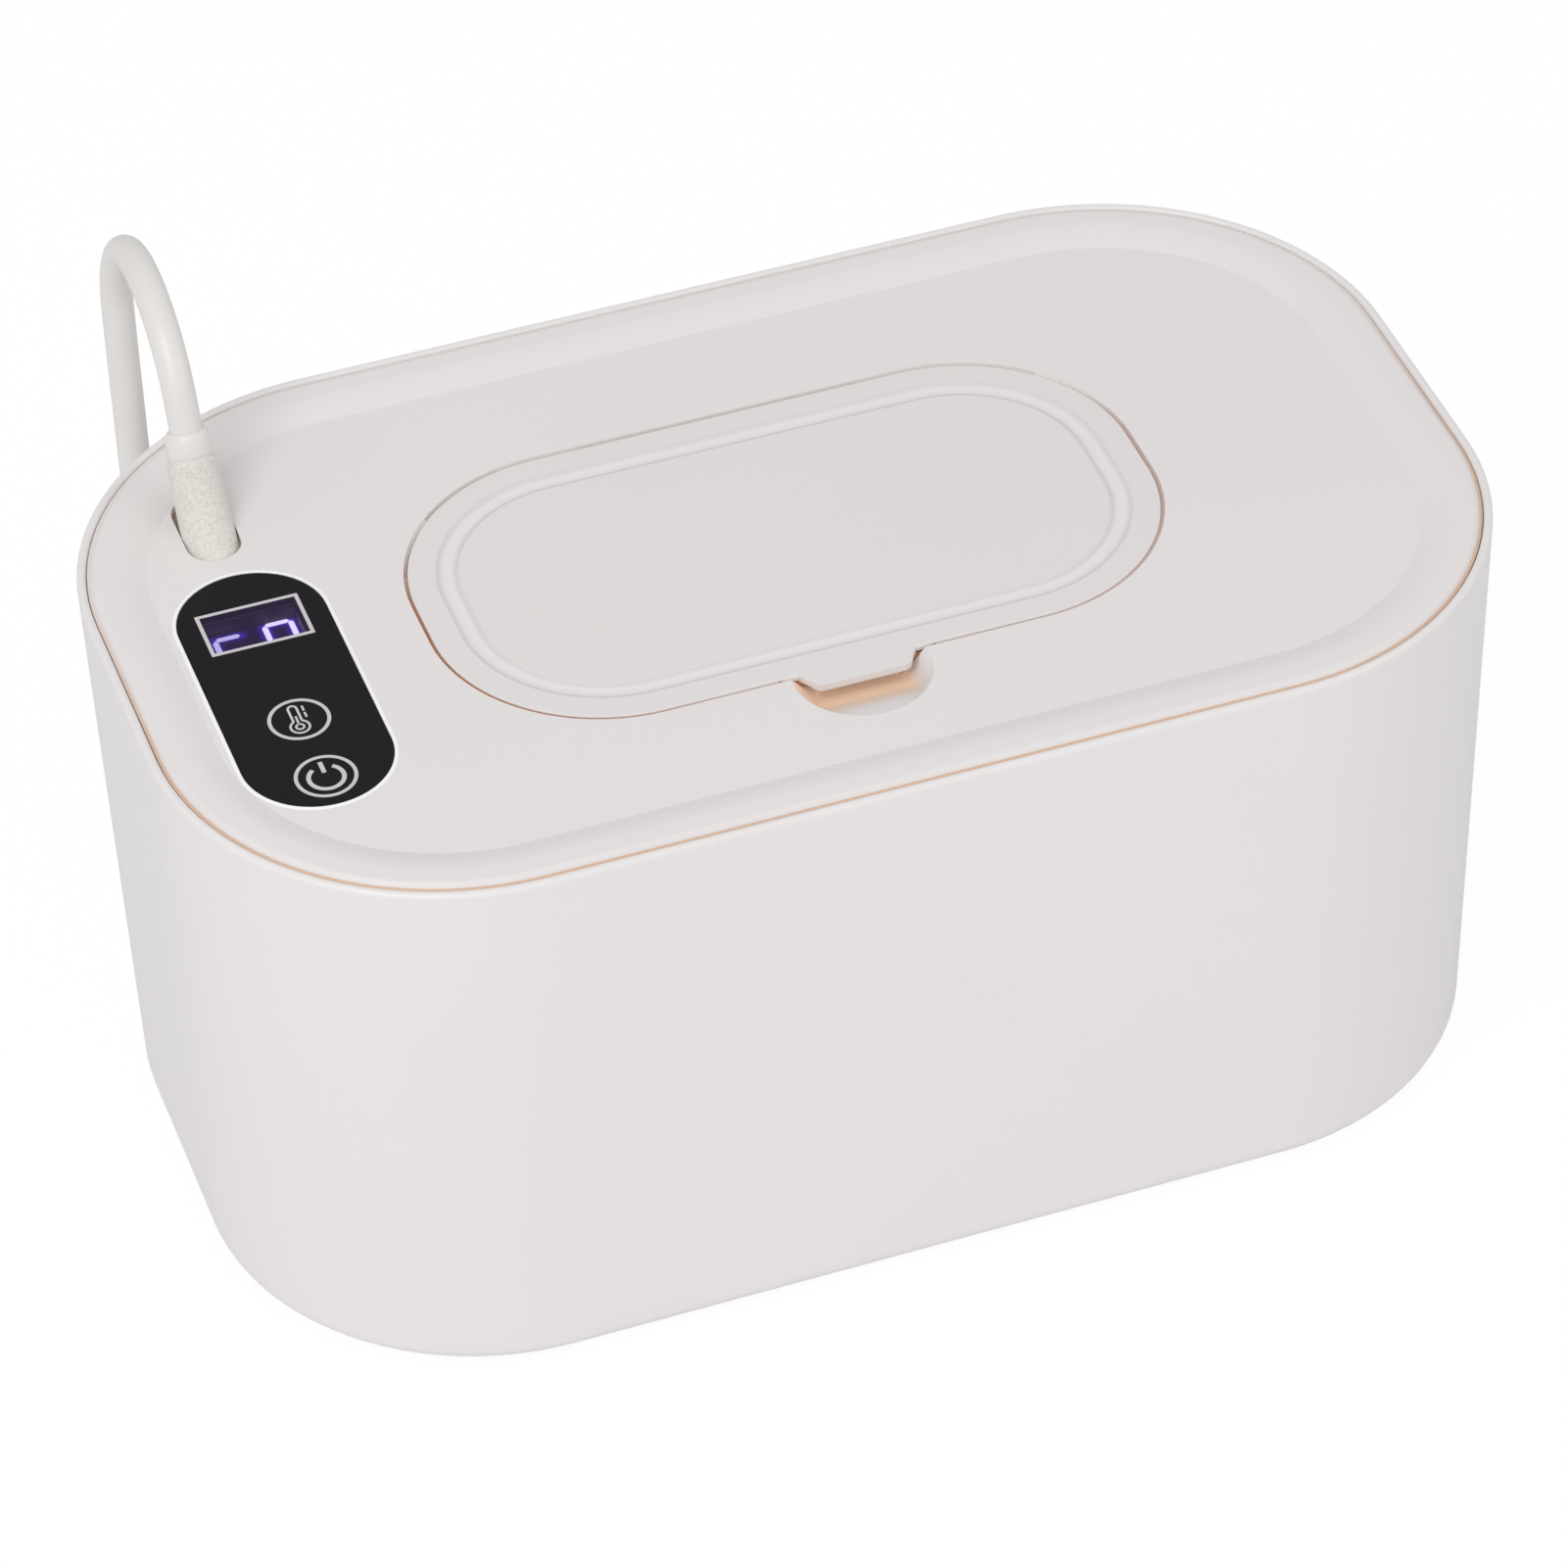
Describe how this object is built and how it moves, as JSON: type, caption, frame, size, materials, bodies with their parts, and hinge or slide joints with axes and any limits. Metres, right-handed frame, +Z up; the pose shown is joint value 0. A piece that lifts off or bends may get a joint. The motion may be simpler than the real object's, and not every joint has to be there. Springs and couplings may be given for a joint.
{
  "type": "baby wipe warmer",
  "caption": "Oblong white warmer for baby wipes with a heated lift-off lid, a hinged flap over the outlet, a touch panel with a display and a coiled cord.",
  "frame": {"origin": "on the standing surface, under the middle of the tub", "axes": "+X along the tub's long side, away from the touch panel; +Y to the back, where the cord leaves; +Z up"},
  "size_m": [0.22, 0.2287, 0.1352],
  "materials": {
    "white_shell": "fine satin moulding, warm white",
    "white_inner": "satin moulding, white",
    "white_rubber": "soft matte silicone",
    "grey_rubber": "matte rubber",
    "cord_jacket": "matte flexible cord jacket",
    "steel": "zinc-plated or bright steel",
    "brass": "nickel-free brass",
    "aluminium": "rolled sheet",
    "film": "polyimide heating film",
    "foam": "needled insulating felt",
    "black_gloss": "gloss black panel",
    "window_tint": "tinted clear window",
    "adhesive": "double-sided tape",
    "display_grey": "digit display housing",
    "board_green": "glass-fibre board",
    "chip_black": "moulded chip case",
    "relay_blue": "moulded relay case",
    "fuse_glass": "glass fuse",
    "wire_red": "wire insulation",
    "tie_black": "strap"
  },
  "bodies": {
    "tub": {"tub_shell": "white_shell", "tub_liner": "white_inner", "liner_screws": "steel", "foot_pads": "grey_rubber", "cord_coil": "cord_jacket", "cord_tie": "tie_black", "plug_body": "cord_jacket", "plug_pins": "brass"},
    "lid": {"lid_top_cover": "white_shell", "lid_inner_cover": "white_inner", "lid_gasket": "white_rubber", "lid_screws": "steel", "hinge_pin": "steel", "flap_seal": "white_rubber", "flap_tray": "white_inner", "tray_screws": "steel", "outlet_seal": "white_rubber", "heater_plate": "aluminium", "heater_film": "film", "insulation_pad": "foam", "thermal_fuse": "steel", "temperature_sensor": "steel", "heater_leads": "wire_red", "sensor_leads": "wire_red", "control_panel": "black_gloss", "display_window": "window_tint", "panel_adhesive": "adhesive", "display_module": "display_grey", "touch_springs": "steel", "control_board": "board_green", "board_screws": "steel", "main_chip": "chip_black", "heater_relay": "relay_blue", "board_fuse": "fuse_glass", "cord_boot": "cord_jacket", "boot_clamp": "steel", "clamp_screws": "steel", "cord_leads": "wire_red", "cord": "cord_jacket"},
    "flap": {"flap": "white_shell"}
  },
  "joints": [
    {"name": "lid_lift", "type": "slide", "parent": "tub", "child": "lid", "axis": [0, 0, 1], "range_m": [0, 0.06]},
    {"name": "flap_hinge", "type": "hinge", "parent": "lid", "child": "flap", "pos_m": [0, 0.041, 0.0977], "axis": [-1, 0, 0], "range_deg": [0, 105]}
  ]
}
